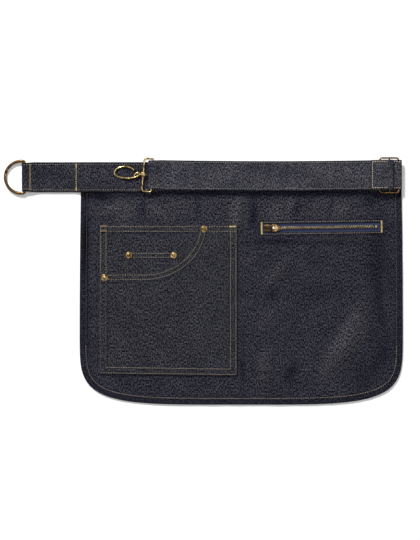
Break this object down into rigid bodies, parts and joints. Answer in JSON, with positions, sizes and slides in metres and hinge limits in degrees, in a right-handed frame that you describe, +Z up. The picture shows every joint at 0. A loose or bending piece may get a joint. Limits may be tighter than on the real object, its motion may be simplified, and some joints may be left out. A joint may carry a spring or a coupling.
{
  "type": "waist apron",
  "caption": "Short denim waist apron laid flat: waistband with D-ring tab, folded back strap with slider and swivel clip, patch pocket with curved mouth, zip opening.",
  "frame": {"origin": "underside of the panel, in the middle of its width and of its length below the waistband", "axes": "+X along the waistband away from the D-ring, +Y up the panel towards the waistband, +Z up from the surface it lies on"},
  "size_m": [0.5185, 0.3212, 0.0149],
  "materials": {
    "denim": "dark indigo twill, grey-blue flecked, matt",
    "strap_denim": "slightly lighter indigo twill, matt",
    "zip_tape": "navy woven tape",
    "zip_brass": "satin yellow brass",
    "brass": "antique brass, worn bright on its edges",
    "bronze": "dark antique bronze, satin"
  },
  "bodies": {
    "apron": {"panel": "denim", "waistband": "denim", "strap": "strap_denim", "pocket_patch": "denim", "coin_pocket": "denim", "pocket_front": "denim", "rivet_coin_left": "brass", "rivet_coin_right": "brass", "rivet_mouth_left": "brass", "rivet_mouth_right": "brass", "zip_tape": "zip_tape", "zip_teeth": "zip_brass", "zip_stop": "zip_brass", "zip_slider": "zip_brass", "slider_buckle": "bronze"},
    "d_ring": {"d_ring": "bronze"},
    "clip_ring": {"clip_ring": "brass"},
    "clip_hook": {"clip_hook": "brass"},
    "zip_pull": {"zip_pull": "zip_brass"}
  },
  "joints": [
    {"name": "d_ring_swing", "type": "hinge", "parent": "apron", "child": "d_ring", "pos_m": [-0.2814, 0.1575, 0.0034], "axis": [0, 1, 0], "range_deg": [0, 155]},
    {"name": "clip_swing", "type": "hinge", "parent": "apron", "child": "clip_ring", "pos_m": [-0.1154, 0.1594, 0.00765], "axis": [0.0872, 0.9962, 0], "range_deg": [0, 130]},
    {"name": "clip_swivel", "type": "hinge", "parent": "clip_ring", "child": "clip_hook", "pos_m": [-0.1154, 0.1594, 0.00765], "axis": [-0.9952, 0.0871, -0.0449], "range_deg": [-4, 4]},
    {"name": "zip_pull_swing", "type": "hinge", "parent": "apron", "child": "zip_pull", "pos_m": [0.04182, 0.09143, 0.0056], "axis": [-0.014, 0.9999, 0], "range_deg": [0, 150]}
  ]
}
